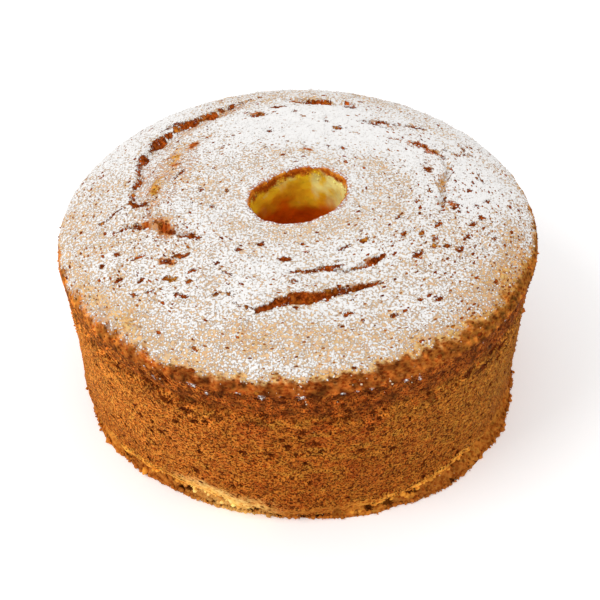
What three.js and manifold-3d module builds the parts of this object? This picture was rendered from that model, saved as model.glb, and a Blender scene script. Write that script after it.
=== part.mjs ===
// A tall sponge ring cake, baked in a tube pan and turned out as it was baked.
// Its crown is a low dome with rings of cracks, the side narrows towards the base,
// the lowest centimetre is torn where it stuck to the pan, and a hole runs through it.
// Millimetres, +Z up, origin in the middle of the base. The shown front faces -Y.
// Angles are in degrees, counted from +X towards +Y, so -90 is the middle of the front.

import * as THREE from "three";
import Module from "manifold-3d";

const wasm = await Module();
wasm.setup();

// ---- Driving sizes ----

const WIDEST_RADIUS = 111;
const WIDEST_HEIGHT = 87;
const WALL_FOOT_RADIUS = 103.6;
const BASE_RADIUS = 104.9;
const CROWN_RISE = 18.2;
const CROWN_OVERHANG = 0.9;

// The crown's section is a flattened ellipse: the higher the power, the sharper the shoulder.
const CROWN_POWER = 2.3;
const CROWN_POWER_CHANGE = 0.35;
const SHARPEST_SHOULDER_AT = 190;

const HOLE = { x: 0.3, y: 1.2, topRadius: 20.6, baseRadius: 27, rimRound: 1.8 };

// The line where the crown rose over the pan's wall shows as a shallow, broken groove.
const PAN_LINE = { height: 73.5, halfWidth: 3.2, depth: 1.5 };

// Slow unevenness of each outline: how many waves round the ring, how large, and where one peaks.
const WIDEST_WAVES = [
  { turns: 1, size: 0.7, peak: -105 },
  { turns: 2, size: 1.2, peak: 61 },
  { turns: 3, size: 0.7, peak: -24 },
];
const WALL_FOOT_WAVES = [
  { turns: 1, size: 1.1, peak: 180 },
  { turns: 2, size: 0.6, peak: -40 },
];
const BASE_WAVES = [
  { turns: 1, size: 1.5, peak: 45 },
  { turns: 2, size: 1.4, peak: -21 },
  { turns: 3, size: 1, peak: -38 },
  { turns: 4, size: 0.9, peak: 41 },
];
const HOLE_WAVES = [
  { turns: 2, size: 2.9, peak: 35 },
  { turns: 3, size: 0.5, peak: 70 },
];
const CROWN_WAVES = [
  { turns: 2, size: 0.5, peak: 20 },
  { turns: 3, size: 0.4, peak: 95 },
];
const PAN_LINE_WAVES = [
  { turns: 2, size: 1.4, peak: -150 },
  { turns: 5, size: 0.8, peak: -60 },
];

// Cracks in the crown: an arc from one angle to another, with its radius at even steps along it.
// The edge nearer the hole is slope times as far from the crack's middle as the outer edge.
const CRACKS = [
  { from: -104, to: -58.5, radii: [78.6, 67.2, 64.7, 64.2, 66.2], width: 5, slope: 1.2, depth: 4.8 },
  { from: -88, to: -46, radii: [52.3, 49.9, 54.6, 54.2, 54.4], width: 3, slope: 1, depth: 2.4 },
  { from: -8, to: 41, radii: [65.2, 66.5, 68.6, 77.5, 79, 73], width: 3.2, slope: 1.8, depth: 2.4 },
  { from: 45, to: 67, radii: [88.5, 81, 76, 72], width: 2.8, slope: 1, depth: 2 },
  { from: 68, to: 96, radii: [88.5, 90, 86.5, 88, 93], width: 4.4, slope: 2, depth: 3 },
  { from: 101, to: 184, radii: [95, 90.5, 87, 87.5, 85, 82, 77.5, 76, 74], width: 5, slope: 3, depth: 4 },
  { from: 124, to: 137, radii: [89, 92, 95], width: 2, slope: 1, depth: 1.8 },
  { from: 191, to: 212, radii: [82, 67, 58.5, 50], width: 4.2, slope: 1.4, depth: 2.6 },
];
const CRACK_STEP = 4.5;
const CRACK_CLEARANCE = 1.5;
const CRACK_FLOOR_SHARE = 0.3;
const CRACK_WANDER = 0.7;

// Tears at the base: the middle and half length of each in degrees, the height of the torn lip
// over the base, and how deep the hollow under the lip is. The crumb below it runs out to the base.
const TEARS = [
  { at: -124, spread: 36, lip: 13, depth: 1.8 },
  { at: -43, spread: 27, lip: 9.5, depth: 4.6 },
  { at: 14, spread: 24, lip: 10.5, depth: 2.4 },
  { at: 68, spread: 22, lip: 9, depth: 4 },
  { at: 128, spread: 30, lip: 12.5, depth: 2 },
  { at: 186, spread: 20, lip: 8.5, depth: 3.6 },
];
const LIP_HEIGHT = 5.5;
const TEAR_DEPTH = 1;
const RAGGED_CELLS = 72;
const RAGGED_LIP = 1.5;
const RAGGED_DEPTH = 1.2;
const LIP_ROUND = 1.8;
const LIP_FLARE = 0.5;

// Low unevenness of the whole crust, as waves through space with seeded directions.
const CRUST_WAVES = 10;
const CRUST_WAVE_SIZE = 0.17;
const LONGEST_CRUST_WAVE = 64;
const SHORTEST_CRUST_WAVE = 24;
const SEED = 20;

const AROUND = 144;

// ---- Helpers ----

const DEGREE = Math.PI / 180;
const FULL_TURN = 360 * DEGREE;

// Repeatable draws between 0 and 1.
function drawsFrom(seed) {
  const MODULUS = 2 ** 32;
  const FACTOR = 1664525;
  const STEP = 1013904223;
  let state = seed;
  return () => {
    state = (state * FACTOR + STEP) % MODULUS;
    return state / MODULUS;
  };
}

const draw = drawsFrom(SEED);
const raggedLip = Array.from({ length: RAGGED_CELLS }, () => draw() - 0.5);
const raggedDepth = Array.from({ length: RAGGED_CELLS }, () => draw() - 0.5);
const crustWaves = Array.from({ length: CRUST_WAVES }, () => {
  const direction = [draw() - 0.5, draw() - 0.5, draw() - 0.5];
  const length = SHORTEST_CRUST_WAVE + (LONGEST_CRUST_WAVE - SHORTEST_CRUST_WAVE) * draw();
  const turnsPerMm = FULL_TURN / (length * Math.hypot(...direction));
  return { direction: direction.map((part) => part * turnsPerMm), phase: FULL_TURN * draw() };
});

const mix = (a, b, share) => a + (b - a) * share;

const clamp01 = (value) => Math.min(1, Math.max(0, value));

const waves = (list, angle) =>
  list.reduce((sum, { turns, size, peak }) => sum + size * Math.cos(turns * (angle - peak * DEGREE)), 0);

// A value between a closed ring of draws, straight from one to the next.
function aroundRing(values, angle) {
  const place = (((angle / FULL_TURN) % 1) + 1) * values.length;
  const before = Math.floor(place);
  return mix(values[before % values.length], values[(before + 1) % values.length], place - before);
}

// A value between evenly spaced ones, straight from one to the next.
function between(values, share) {
  const place = clamp01(share) * (values.length - 1);
  const before = Math.min(Math.floor(place), values.length - 2);
  return mix(values[before], values[before + 1], place - before);
}

// 1 at the middle of a stretch of the ring, falling smoothly to 0 at both its ends.
function stretch(angle, at, spread) {
  const turn = angle - at * DEGREE;
  const apart = Math.abs(Math.atan2(Math.sin(turn), Math.cos(turn)));
  const inside = clamp01(1 - apart / (spread * DEGREE));
  return inside * inside * (3 - 2 * inside);
}

// ---- The cake's form ----

function crustRelief(radius, angle, height) {
  const [x, y] = [radius * Math.cos(angle), radius * Math.sin(angle)];
  return crustWaves.reduce((sum, { direction, phase }) => {
    const turn = direction[0] * x + direction[1] * y + direction[2] * height + phase;
    return sum + CRUST_WAVE_SIZE * Math.cos(turn);
  }, 0);
}

const widestRadius = (angle) => WIDEST_RADIUS + waves(WIDEST_WAVES, angle);

const baseRadius = (angle) => BASE_RADIUS + waves(BASE_WAVES, angle);

function crownHeight(radius, angle) {
  const power = CROWN_POWER + CROWN_POWER_CHANGE * Math.cos(angle - SHARPEST_SHOULDER_AT * DEGREE);
  const share = clamp01(radius / widestRadius(angle));
  const fullness = 1 - share ** power;
  const uneven = waves(CROWN_WAVES, angle) * share + crustRelief(radius, angle, WIDEST_HEIGHT);
  return WIDEST_HEIGHT + CROWN_RISE * Math.sqrt(fullness) + uneven * fullness;
}

function panLineDepth(height, angle) {
  const away = (height - PAN_LINE.height - waves(PAN_LINE_WAVES, angle)) / PAN_LINE.halfWidth;
  const broken = 1 + Math.cos(3 * angle) / 2;
  return PAN_LINE.depth * broken * Math.exp(-away * away);
}

// The wall under the crown, which stands a little inside it.
function wallRadius(height, angle) {
  const foot = WALL_FOOT_RADIUS + waves(WALL_FOOT_WAVES, angle);
  const share = clamp01(height / WIDEST_HEIGHT);
  const underCrown = share ** 8;
  const smooth = mix(foot, widestRadius(angle) - CROWN_OVERHANG, share) + CROWN_OVERHANG * underCrown;
  return smooth + (1 - underCrown) * (crustRelief(smooth, angle, height) - panLineDepth(height, angle));
}

function tornBase(angle) {
  const torn = { lip: LIP_HEIGHT, depth: TEAR_DEPTH };
  for (const tear of TEARS) {
    const share = stretch(angle, tear.at, tear.spread);
    torn.lip = mix(torn.lip, tear.lip, share);
    torn.depth = mix(torn.depth, tear.depth, share);
  }
  torn.lip += 2 * RAGGED_LIP * aroundRing(raggedLip, angle);
  torn.ragged = 2 * RAGGED_DEPTH * aroundRing(raggedDepth, angle);
  return torn;
}

function holeRadius(height, angle) {
  const straight = mix(HOLE.baseRadius, HOLE.topRadius, height / (WIDEST_HEIGHT + CROWN_RISE));
  return straight + waves(HOLE_WAVES, angle) + crustRelief(straight, angle, height);
}

// ---- The rows of the mesh, from the foot of the hole over the crown and down to the base ----

const point = (radius, angle, height, holeShare = 0) => [
  radius * Math.cos(angle) + HOLE.x * holeShare,
  radius * Math.sin(angle) + HOLE.y * holeShare,
  height,
];

const HOLE_ROWS = [0, 0.3, 0.55, 0.75, 0.9];
const RIM_ROWS = [0, 0.5, 1];
const CROWN_ROWS = [0.1, 0.22, 0.34, 0.46, 0.58, 0.69, 0.79, 0.87, 0.93, 0.97, 0.993];
const WALL_ROWS = [1, 0.94, 0.885, 0.845, 0.8, 0.68, 0.54, 0.4, 0.28, 0.2];

function holeTop(angle) {
  const radius = holeRadius(WIDEST_HEIGHT + CROWN_RISE, angle);
  return { radius, height: crownHeight(radius, angle) - HOLE.rimRound };
}

function holeRow(share) {
  return (angle) => {
    const height = holeTop(angle).height * share;
    return point(holeRadius(height, angle), angle, height, 1);
  };
}

// A quarter round from the hole's wall onto the crown.
function rimRow(share) {
  return (angle) => {
    const top = holeTop(angle);
    const turn = 90 * DEGREE * share;
    const radius = top.radius + HOLE.rimRound * (1 - Math.cos(turn));
    const height = mix(top.height + HOLE.rimRound * Math.sin(turn), crownHeight(radius, angle), share);
    return point(radius, angle, height, 1);
  };
}

function crownRow(share) {
  return (angle) => {
    const radius = mix(holeTop(angle).radius + HOLE.rimRound, widestRadius(angle), share);
    const [x, y] = point(radius, angle, 0, 1 - share);
    return [x, y, crownHeight(Math.hypot(x, y), Math.atan2(y, x))];
  };
}

function wallRow(share) {
  return (angle) => point(wallRadius(WIDEST_HEIGHT * share, angle), angle, WIDEST_HEIGHT * share);
}

// The torn lip's upper edge.
function lipRow(angle) {
  const height = tornBase(angle).lip + LIP_ROUND;
  return point(wallRadius(height, angle) + LIP_FLARE, angle, height);
}

// A row below the lip: how high it is between base and lip, its share of the way out from the wall
// to the base's outline, and its share of the hollow's depth.
function tearRow(heightShare, outShare, hollowShare) {
  return (angle) => {
    const torn = tornBase(angle);
    const height = torn.lip * heightShare;
    const uneven = torn.ragged * Math.max(outShare, hollowShare);
    const radius = mix(wallRadius(height, angle), baseRadius(angle), outShare);
    return point(radius - torn.depth * hollowShare - uneven, angle, height);
  };
}

const rows = [
  ...HOLE_ROWS.map(holeRow),
  ...RIM_ROWS.map(rimRow),
  ...CROWN_ROWS.map(crownRow),
  ...WALL_ROWS.map(wallRow),
  lipRow,
  tearRow(1, 0, 0.1),
  tearRow(0.84, 0.1, 1),
  tearRow(0.4, 0.5, 0.8),
  tearRow(0, 1, 0),
];

function ringBody() {
  const positions = [];
  for (const row of rows) {
    for (let i = 0; i < AROUND; i++) positions.push(...row((i / AROUND) * FULL_TURN));
  }
  const faces = [];
  for (let j = 0; j < rows.length; j++) {
    const nextRow = (j + 1) % rows.length;
    for (let i = 0; i < AROUND; i++) {
      const next = (i + 1) % AROUND;
      const corners = [j * AROUND + i, nextRow * AROUND + i, nextRow * AROUND + next, j * AROUND + next];
      faces.push(corners[0], corners[1], corners[2], corners[0], corners[2], corners[3]);
    }
  }
  return solid(positions, faces);
}

// A blade along a crack, which cuts a groove with sloping walls that runs out at both ends.
function crackBlade({ from, to, radii, width, slope, depth }) {
  const meanRadius = radii.reduce((sum, radius) => sum + radius, 0) / radii.length;
  const steps = Math.ceil((Math.abs(to - from) * DEGREE * meanRadius) / CRACK_STEP);
  const line = Array.from({ length: steps + 1 }, (_, i) => {
    const angle = mix(from, to, i / steps) * DEGREE;
    const radius = between(radii, i / steps) + CRACK_WANDER * (draw() - 0.5);
    return { angle, radius, x: radius * Math.cos(angle), y: radius * Math.sin(angle) };
  });
  const positions = line.flatMap((middle, i) => {
    const before = line[Math.max(0, i - 1)];
    const after = line[Math.min(steps, i + 1)];
    const length = Math.hypot(after.x - before.x, after.y - before.y);
    const inwards = { x: (before.y - after.y) / length, y: (after.x - before.x) / length };
    const open = Math.sqrt(clamp01(Math.sin((Math.PI * i) / steps)));
    const surface = crownHeight(middle.radius, middle.angle);
    const floor = surface + CRACK_CLEARANCE / 2 - (depth + CRACK_CLEARANCE / 2) * open;
    const half = (width / 2) * mix(0.25, 1, open);
    const corner = (offset, height) => [
      middle.x + inwards.x * offset,
      middle.y + inwards.y * offset,
      height,
    ];
    return [
      ...corner(-half * CRACK_FLOOR_SHARE, floor),
      ...corner(half * CRACK_FLOOR_SHARE, floor),
      ...corner(half * slope, surface + CRACK_CLEARANCE),
      ...corner(-half, surface + CRACK_CLEARANCE),
    ];
  });
  const faces = [0, 2, 1, 0, 3, 2];
  for (let i = 0; i < steps; i++) {
    for (let k = 0; k < 4; k++) {
      const a = 4 * i + k;
      const b = 4 * i + ((k + 1) % 4);
      faces.push(a, b, b + 4, a, b + 4, a + 4);
    }
  }
  const last = 4 * steps;
  faces.push(last, last + 1, last + 2, last, last + 2, last + 3);
  return solid(positions, faces);
}

function solid(positions, faces) {
  return new wasm.Manifold(
    new wasm.Mesh({
      numProp: 3,
      vertProperties: new Float32Array(positions),
      triVerts: new Uint32Array(faces),
    }),
  );
}

function geometryOf(body) {
  const { vertProperties, triVerts } = body.getMesh();
  const geometry = new THREE.BufferGeometry();
  geometry.setAttribute("position", new THREE.BufferAttribute(vertProperties, 3));
  geometry.setIndex(new THREE.BufferAttribute(triVerts, 1));
  geometry.computeVertexNormals();
  return geometry;
}

function makeCake() {
  const cracked = CRACKS.reduce((body, crack) => body.subtract(crackBlade(crack)), ringBody());
  const crust = new THREE.MeshStandardMaterial({ color: 0xb8772c, roughness: 0.9, metalness: 0 });
  const cake = new THREE.Mesh(geometryOf(cracked), crust);
  cake.name = "cake";
  return cake;
}

const ringCake = new THREE.Group();
ringCake.add(makeCake());

export default ringCake;
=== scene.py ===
# A golden sponge ring cake with a sugared, cracked crown, a browned wall and a torn base.
# The cake's sizes are in millimetres up to the point where a mesh is made. Meshes, the floor and the
# light are in metres. Listed angles are in degrees, counted from +X towards +Y, so -90 is the middle
# of the shown front. The functions take angles round the ring in radians.

import math
from itertools import combinations

import bpy
import numpy as np
from mathutils import Matrix, Vector


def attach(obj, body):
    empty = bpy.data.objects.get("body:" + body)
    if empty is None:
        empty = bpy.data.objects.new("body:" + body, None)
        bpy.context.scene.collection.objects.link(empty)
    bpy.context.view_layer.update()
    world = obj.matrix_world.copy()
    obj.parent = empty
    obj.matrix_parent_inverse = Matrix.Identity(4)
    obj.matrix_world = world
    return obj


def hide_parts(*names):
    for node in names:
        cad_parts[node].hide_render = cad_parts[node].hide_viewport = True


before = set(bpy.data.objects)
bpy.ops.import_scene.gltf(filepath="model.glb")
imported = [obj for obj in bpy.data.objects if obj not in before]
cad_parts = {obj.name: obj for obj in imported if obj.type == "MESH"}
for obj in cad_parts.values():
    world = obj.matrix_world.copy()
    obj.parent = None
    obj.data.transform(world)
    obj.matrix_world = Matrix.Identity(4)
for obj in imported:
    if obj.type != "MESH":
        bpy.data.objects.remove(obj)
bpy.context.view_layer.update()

MM = 0.001
DEGREE = math.pi / 180
FULL_TURN = 360 * DEGREE

# ---- The cake's form, as in the solid

WIDEST_RADIUS = 111
WIDEST_HEIGHT = 87
WALL_FOOT_RADIUS = 103.6
BASE_RADIUS = 104.9
CROWN_RISE = 18.2
CROWN_OVERHANG = 0.9
CROWN_POWER = 2.3
CROWN_POWER_CHANGE = 0.35
SHARPEST_SHOULDER_AT = 190

HOLE_X, HOLE_Y = 0.3, 1.2
HOLE_TOP_RADIUS = 20.6
HOLE_BASE_RADIUS = 27
HOLE_RIM_ROUND = 1.8

PAN_LINE_HEIGHT = 73.5
PAN_LINE_HALF_WIDTH = 3.2
PAN_LINE_DEPTH = 1.5

# Slow unevenness of each outline: (waves round the ring, size, angle of a peak).
WIDEST_WAVES = [(1, 0.7, -105), (2, 1.2, 61), (3, 0.7, -24)]
WALL_FOOT_WAVES = [(1, 1.1, 180), (2, 0.6, -40)]
BASE_WAVES = [(1, 1.5, 45), (2, 1.4, -21), (3, 1, -38), (4, 0.9, 41)]
HOLE_WAVES = [(2, 2.9, 35), (3, 0.5, 70)]
CROWN_WAVES = [(2, 0.5, 20), (3, 0.4, 95)]
PAN_LINE_WAVES = [(2, 1.4, -150), (5, 0.8, -60)]

# Tears at the base: middle, half length, height of the torn lip, depth of the hollow under it.
TEARS = [
    (-124, 36, 13, 1.8),
    (-43, 27, 9.5, 4.6),
    (14, 24, 10.5, 2.4),
    (68, 22, 9, 4),
    (128, 30, 12.5, 2),
    (186, 20, 8.5, 3.6),
]
LIP_HEIGHT = 5.5
TEAR_DEPTH = 1
RAGGED_CELLS = 72
RAGGED_LIP = 1.5
RAGGED_DEPTH = 1.2
LIP_ROUND = 1.8
LIP_FLARE = 0.5

CRUST_WAVES = 10
CRUST_WAVE_SIZE = 0.17
LONGEST_CRUST_WAVE = 64
SHORTEST_CRUST_WAVE = 24
SEED = 20


def draws_from(seed):
    """Repeatable draws between 0 and 1, as in the solid."""
    state = seed
    while True:
        state = (state * 1664525 + 1013904223) % 2**32
        yield state / 2**32


draws = draws_from(SEED)
ragged_lip = np.array([next(draws) - 0.5 for _ in range(RAGGED_CELLS)])
ragged_depth = np.array([next(draws) - 0.5 for _ in range(RAGGED_CELLS)])
crust_waves = []
for _ in range(CRUST_WAVES):
    direction = np.array([next(draws) - 0.5 for _ in range(3)])
    length = SHORTEST_CRUST_WAVE + (LONGEST_CRUST_WAVE - SHORTEST_CRUST_WAVE) * next(draws)
    turns_per_mm = FULL_TURN / (length * np.linalg.norm(direction))
    crust_waves.append((direction * turns_per_mm, FULL_TURN * next(draws)))


def mix(a, b, share):
    return a + (b - a) * share


def ramp(low, high, value):
    share = np.clip((value - low) / (high - low), 0, 1)
    return share * share * (3 - 2 * share)


def waves(listed, angle):
    return sum(size * np.cos(turns * (angle - peak * DEGREE)) for turns, size, peak in listed)


def around_ring(values, angle):
    """A value between a closed ring of evenly spaced ones."""
    places = np.linspace(0, FULL_TURN, len(values) + 1)
    return np.interp(np.mod(angle, FULL_TURN), places, np.append(values, values[0]))


def apart(angle, at):
    """Degrees from a place on the ring, from -180 to 180."""
    turn = angle - at * DEGREE
    return np.arctan2(np.sin(turn), np.cos(turn)) / DEGREE


def stretch(angle, at, spread):
    """1 at the middle of a stretch of the ring and 0 at both its ends."""
    return ramp(0, 1, 1 - np.abs(apart(angle, at)) / spread)


def crust_relief(radius, angle, height):
    x, y = radius * np.cos(angle), radius * np.sin(angle)
    turns = (d[0] * x + d[1] * y + d[2] * height + phase for d, phase in crust_waves)
    return CRUST_WAVE_SIZE * sum(np.cos(turn) for turn in turns)


def widest_radius(angle):
    return WIDEST_RADIUS + waves(WIDEST_WAVES, angle)


def crown_height(radius, angle):
    turned = np.cos(angle - SHARPEST_SHOULDER_AT * DEGREE)
    share = np.clip(radius / widest_radius(angle), 0, 1)
    fullness = 1 - share ** (CROWN_POWER + CROWN_POWER_CHANGE * turned)
    uneven = waves(CROWN_WAVES, angle) * share + crust_relief(radius, angle, WIDEST_HEIGHT)
    return WIDEST_HEIGHT + CROWN_RISE * np.sqrt(fullness) + uneven * fullness


def pan_line_place(height, angle):
    """How far a point is from the pan line, in half widths of its groove."""
    return (height - PAN_LINE_HEIGHT - waves(PAN_LINE_WAVES, angle)) / PAN_LINE_HALF_WIDTH


def wall_radius(height, angle):
    foot = WALL_FOOT_RADIUS + waves(WALL_FOOT_WAVES, angle)
    share = np.clip(height / WIDEST_HEIGHT, 0, 1)
    under_crown = share**8
    top = widest_radius(angle) - CROWN_OVERHANG
    smooth = mix(foot, top, share) + CROWN_OVERHANG * under_crown
    groove = PAN_LINE_DEPTH * (1 + np.cos(3 * angle) / 2) * np.exp(-pan_line_place(height, angle) ** 2)
    return smooth + (1 - under_crown) * (crust_relief(smooth, angle, height) - groove)


def torn_base(angle):
    """Height of the torn lip, depth of the hollow under it and its raggedness."""
    lip, depth = LIP_HEIGHT, TEAR_DEPTH
    for at, spread, tear_lip, tear_depth in TEARS:
        share = stretch(angle, at, spread)
        lip = mix(lip, tear_lip, share)
        depth = mix(depth, tear_depth, share)
    lip = lip + 2 * RAGGED_LIP * around_ring(ragged_lip, angle)
    return lip, depth, 2 * RAGGED_DEPTH * around_ring(ragged_depth, angle)


def hole_radius(height, angle):
    straight = mix(HOLE_BASE_RADIUS, HOLE_TOP_RADIUS, height / (WIDEST_HEIGHT + CROWN_RISE))
    return straight + waves(HOLE_WAVES, angle) + crust_relief(straight, angle, height)


def hole_top(angle):
    radius = hole_radius(WIDEST_HEIGHT + CROWN_RISE, angle)
    return radius, crown_height(radius, angle) - HOLE_RIM_ROUND


# ---- Rows of the fine mesh, from the hole's foot over the crown to the base


def placed(radius, angle, height, hole_share=0.0):
    x = radius * np.cos(angle) + HOLE_X * hole_share
    y = radius * np.sin(angle) + HOLE_Y * hole_share
    return np.stack([x, y, height + 0 * angle], axis=1)


def hole_row(share, angle):
    height = hole_top(angle)[1] * share
    return placed(hole_radius(height, angle), angle, height, 1)


def rim_row(share, angle):
    top_radius, top_height = hole_top(angle)
    turn = 90 * DEGREE * share
    radius = top_radius + HOLE_RIM_ROUND * (1 - math.cos(turn))
    height = mix(top_height + HOLE_RIM_ROUND * math.sin(turn), crown_height(radius, angle), share)
    return placed(radius, angle, height, 1)


def crown_row(share, angle):
    radius = mix(hole_top(angle)[0] + HOLE_RIM_ROUND, widest_radius(angle), share)
    row = placed(radius, angle, 0, 1 - share)
    row[:, 2] = crown_height(np.hypot(row[:, 0], row[:, 1]), np.arctan2(row[:, 1], row[:, 0]))
    return row


def wall_row(share, angle):
    height = WIDEST_HEIGHT * share + 0 * angle
    return placed(wall_radius(height, angle), angle, height)


LOWEST_EVEN_SHARE = 0.2


def above_lip_row(share, angle):
    """Rows from the lowest even one down to the torn lip."""
    height = mix(WIDEST_HEIGHT * LOWEST_EVEN_SHARE, torn_base(angle)[0] + LIP_ROUND, share)
    return placed(wall_radius(height, angle) + LIP_FLARE * share, angle, height)


# From the base to the lip: share of the way out to the base's outline, and of the hollow's depth.
TEAR_HEIGHTS = [0, 0.4, 0.84, 1]
TEAR_OUT = [1, 0.5, 0.1, 0]
TEAR_HOLLOW = [0, 0.8, 1, 0.1]


def tear_row(share, angle):
    lip, depth, ragged = torn_base(angle)
    height = lip * share
    out = np.interp(share, TEAR_HEIGHTS, TEAR_OUT)
    hollow = np.interp(share, TEAR_HEIGHTS, TEAR_HOLLOW)
    base = BASE_RADIUS + waves(BASE_WAVES, angle)
    radius = mix(wall_radius(height, angle), base, out)
    return placed(radius - depth * hollow - ragged * max(out, hollow), angle, height)


AROUND_HOLE = 160
AROUND_INNER = 320
AROUND_OUTER = 640
INNER_SHARE = 0.38
FRONT = -90 * DEGREE
FRONT_CROWDING = 0.25

HOLE_FOOT_ROWS = 12
HOLE_TOP_ROWS = 38
HOLE_TOP_FROM = 0.5
RIM_ROWS = 4
INNER_ROWS = 34
OUTER_ROWS = 44
SHOULDER_ROWS = 11
SHOULDER_SHARE = 0.94
WALL_ROWS = 48
ABOVE_LIP_ROWS = 5
TEAR_ROWS = 13

HOLE, CROWN, WALL = 0, 1, 2


def spread_angles(count):
    """Angles of the vertices round a row, closer together at the front."""
    turn = np.arange(count) / count * FULL_TURN
    return FRONT + turn - FRONT_CROWDING * np.sin(turn)


def planned_rows():
    """(row function, its share, vertices around, region) for each row of the mesh, in order."""
    foot = np.linspace(0, HOLE_TOP_FROM, HOLE_FOOT_ROWS, endpoint=False)
    top = np.linspace(HOLE_TOP_FROM, 1, HOLE_TOP_ROWS, endpoint=False)
    inner = np.linspace(0, INNER_SHARE, INNER_ROWS + 1)[1:]
    outer = np.linspace(INNER_SHARE, SHOULDER_SHARE, OUTER_ROWS + 1)[1:]
    turns = np.linspace(0, 1, SHOULDER_ROWS + 1)[1:-1]
    shoulder = mix(SHOULDER_SHARE, 1, np.sin(90 * DEGREE * turns))
    stretches = [
        (hole_row, [*foot, *top], AROUND_HOLE, HOLE),
        (rim_row, np.linspace(0, 1, RIM_ROWS), AROUND_HOLE, HOLE),
        (crown_row, inner, AROUND_INNER, CROWN),
        (crown_row, [*outer, *shoulder], AROUND_OUTER, CROWN),
        (wall_row, np.linspace(1, LOWEST_EVEN_SHARE, WALL_ROWS), AROUND_OUTER, WALL),
        (above_lip_row, np.linspace(0, 1, ABOVE_LIP_ROWS + 1)[1:], AROUND_OUTER, WALL),
        (tear_row, np.linspace(1, 0, TEAR_ROWS), AROUND_OUTER, WALL),
    ]
    return [(row, share, *rest) for row, shares, *rest in stretches for share in shares]


def ring_faces(first, count, next_first, next_count):
    """Faces between a row and the next, where one count is a whole number of times the other."""
    if count > next_count:
        return [face[::-1] for face in ring_faces(next_first, next_count, first, count)]
    times = next_count // count
    half = times // 2
    faces = []
    for k in range(count):
        near, far = first + k, first + (k + 1) % count
        fine = [next_first + (times * k + j) % next_count for j in range(times + 1)]
        if times == 1:
            faces.append([near, *fine, far])
            continue
        faces += [[near, a, b] for a, b in zip(fine[:half], fine[1 : half + 1])]
        faces.append([near, fine[half], far])
        faces += [[far, a, b] for a, b in zip(fine[half:], fine[half + 1 :])]
    return faces


# ---- Repeatable noise


def lattice(x, y, z, seed):
    """A repeatable number from 0 to 1 for each whole-number place."""
    mask = 0xFFFFFFFF
    mixed = (x * 374761393 + y * 668265263 + z * 1440662683 + seed * 974634777) & mask
    mixed = ((mixed ^ (mixed >> 13)) * 1274126177) & mask
    mixed = ((mixed ^ (mixed >> 15)) * 668265263) & mask
    return ((mixed ^ (mixed >> 16)) & 0xFFFFFF) / 0x1000000


def noise(points, size, seed):
    """Smooth noise from -1 to 1 with features of that size in millimetres."""
    place = points / size
    cell = np.floor(place).astype(np.int64)
    inside = ramp(0, 1, place - cell)
    total = np.zeros(len(points))
    for corner in np.ndindex(2, 2, 2):
        weight = np.prod(np.where(corner, inside, 1 - inside), axis=1)
        total += weight * lattice(*(cell + corner).T, seed)
    return 2 * total - 1


def clouds(points, size, seed, layers=3):
    """Smooth noise with finer and weaker noise added."""
    total = sum(noise(points, size / 2**k, seed + k) / 2**k for k in range(layers))
    return total / 1.5


# ---- Cracks, marks and bare patches of the crown

# Angles of a crack's start and end, its radius and its width at even steps along it, how many times
# further its edge nearer the hole is from its middle than the outer edge, its depth, how many half
# widths past the middle its dark part reaches from the outer edge, the share of its width by which
# that is broken, and the colour of the rest.
CRACKS = [
    (-104, -57, [77.5, 70.8, 67.5, 66.8, 65.6, 64.8, 64.6, 65, 66.3],
     [1.4, 5, 7.6, 6.6, 5.6, 5, 4.4, 3, 1.2], 1.1, 3.8, 1.05, 0.35, "rust"),
    (-88, -46, [52.3, 49.9, 54.6, 54.2, 54.4], [1, 2.4, 1.6, 1.6, 5, 1.6], 1, 2.4, 0.9, 1.1, "rust"),
    (-8, 41, [65.2, 66.5, 68.6, 77.5, 79, 73], [1, 3.2, 3.2, 1], 1.8, 1.7, -0.2, 1.5, "golden_skin"),
    (45, 67, [88.5, 81, 76, 72], [1, 2.8, 2.8, 1], 1, 2, 0.2, 1.6, "rust"),
    (68, 96, [88.5, 90, 86.5, 88, 93], [1.4, 4.4, 4.4, 1.4], 2, 3, -0.2, 1.4, "skin"),
    (101, 184, [95, 90.5, 87, 87.5, 85, 82, 77.5, 76, 74], [1.5, 4, 5, 5, 5, 5, 2.5],
     4, 3.2, -0.35, 0.75, "skin"),
    (124, 137, [89, 92, 95], [0.6, 2, 0.6], 1, 1.8, 0.5, 1, "rust"),
    (191, 212, [82, 67, 58.5, 50], [1.4, 4.2, 4.2, 1.4], 1.4, 2.6, 0.4, 1.4, "skin"),
]
CRACK_FLOOR_SHARE = 0.3

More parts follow.
